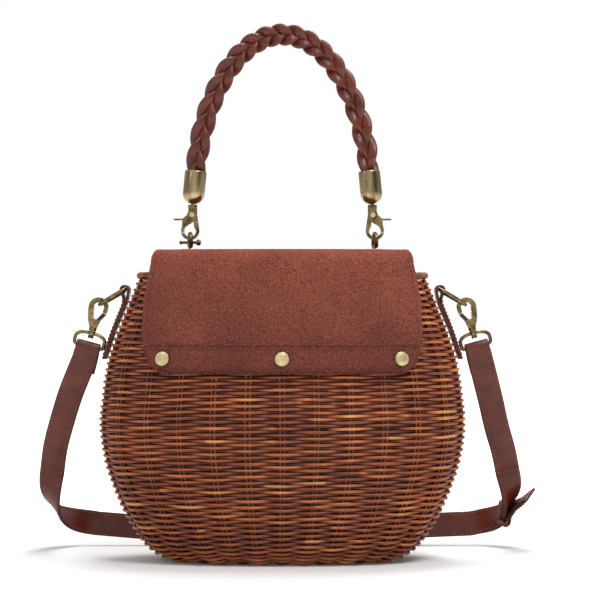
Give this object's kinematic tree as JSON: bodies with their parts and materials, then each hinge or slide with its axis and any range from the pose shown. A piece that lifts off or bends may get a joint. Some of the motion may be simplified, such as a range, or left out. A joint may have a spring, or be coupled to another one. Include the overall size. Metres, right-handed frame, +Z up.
{
  "type": "straw basket bag",
  "caption": "Woven straw basket bag with a suede flap, a braided leather top handle on brass clasps and a detachable leather shoulder strap",
  "frame": {"origin": "middle of the flat base of the basket, on the floor", "axes": "+Z up along the handle's rise, +Y from the snapped front of the flap to the back of the bag, +X to the viewer's right in the front view"},
  "size_m": [0.4077, 0.1603, 0.4201],
  "materials": {
    "wicker": "woven round straw rods, satin, unvarnished",
    "suede": "matt suede, short nap",
    "leather": "smooth leather with a soft gloss",
    "brass": "polished antique brass"
  },
  "bodies": {
    "root": {"basket": "wicker", "basket_rim": "wicker", "flap": "suede", "flap_band": "suede", "snap_left": "brass", "snap_middle": "brass", "snap_right": "brass", "handle_strand_1": "leather", "handle_strand_2": "leather", "handle_strand_3": "leather", "left_cap": "brass", "left_arch": "brass", "left_washer": "brass", "left_tab": "leather", "left_d_ring": "brass", "left_strap_ring": "brass", "right_cap": "brass", "right_arch": "brass", "right_washer": "brass", "right_tab": "leather", "right_d_ring": "brass", "right_strap_ring": "brass", "left_arch_pin": "brass", "strap_short": "leather", "strap_long": "leather", "strap_slide": "brass", "strap_keeper": "leather"},
    "left_clasp_body": {"left_clasp": "brass", "left_clasp_rivet": "brass"},
    "left_clasp_lever_body": {"left_clasp_lever": "brass"},
    "left_hook_body": {"left_hook": "brass", "left_hook_pin": "brass"},
    "left_hook_gate_body": {"left_hook_gate": "brass"},
    "right_clasp_body": {"right_clasp": "brass", "right_clasp_rivet": "brass"},
    "right_clasp_lever_body": {"right_clasp_lever": "brass"},
    "right_hook_body": {"right_hook": "brass", "right_hook_pin": "brass"},
    "right_hook_gate_body": {"right_hook_gate": "brass"}
  },
  "joints": [
    {"name": "left_clasp_swivel", "type": "hinge", "parent": "root", "child": "left_clasp_body", "pos_m": [-0.0706, 0, 0.28], "axis": [0, 0, 1], "range_deg": [-8, 8]},
    {"name": "left_clasp_trigger", "type": "hinge", "parent": "left_clasp_body", "child": "left_clasp_lever_body", "pos_m": [-0.071, 0, 0.271], "axis": [0, -1, 0], "range_deg": [0, 10], "stiffness_Nm_per_rad": 0.05},
    {"name": "left_hook_swivel", "type": "hinge", "parent": "root", "child": "left_hook_body", "pos_m": [-0.15, 0, 0.1782], "axis": [0.2588, 0, 0.9659], "range_deg": [-10, 10]},
    {"name": "left_hook_gate", "type": "hinge", "parent": "left_hook_body", "child": "left_hook_gate_body", "pos_m": [-0.14558, 0, 0.18737], "axis": [0, -1, 0], "range_deg": [0, 25], "stiffness_Nm_per_rad": 0.05},
    {"name": "right_clasp_swivel", "type": "hinge", "parent": "root", "child": "right_clasp_body", "pos_m": [0.0706, 0, 0.28], "axis": [0, 0, 1], "range_deg": [-8, 8]},
    {"name": "right_clasp_trigger", "type": "hinge", "parent": "right_clasp_body", "child": "right_clasp_lever_body", "pos_m": [0.071, 0, 0.271], "axis": [0, 1, 0], "range_deg": [0, 10], "stiffness_Nm_per_rad": 0.05},
    {"name": "right_hook_swivel", "type": "hinge", "parent": "root", "child": "right_hook_body", "pos_m": [0.15, 0, 0.1782], "axis": [-0.2588, 0, 0.9659], "range_deg": [-10, 10]},
    {"name": "right_hook_gate", "type": "hinge", "parent": "right_hook_body", "child": "right_hook_gate_body", "pos_m": [0.14558, 0, 0.18737], "axis": [0, 1, 0], "range_deg": [0, 25], "stiffness_Nm_per_rad": 0.05}
  ]
}
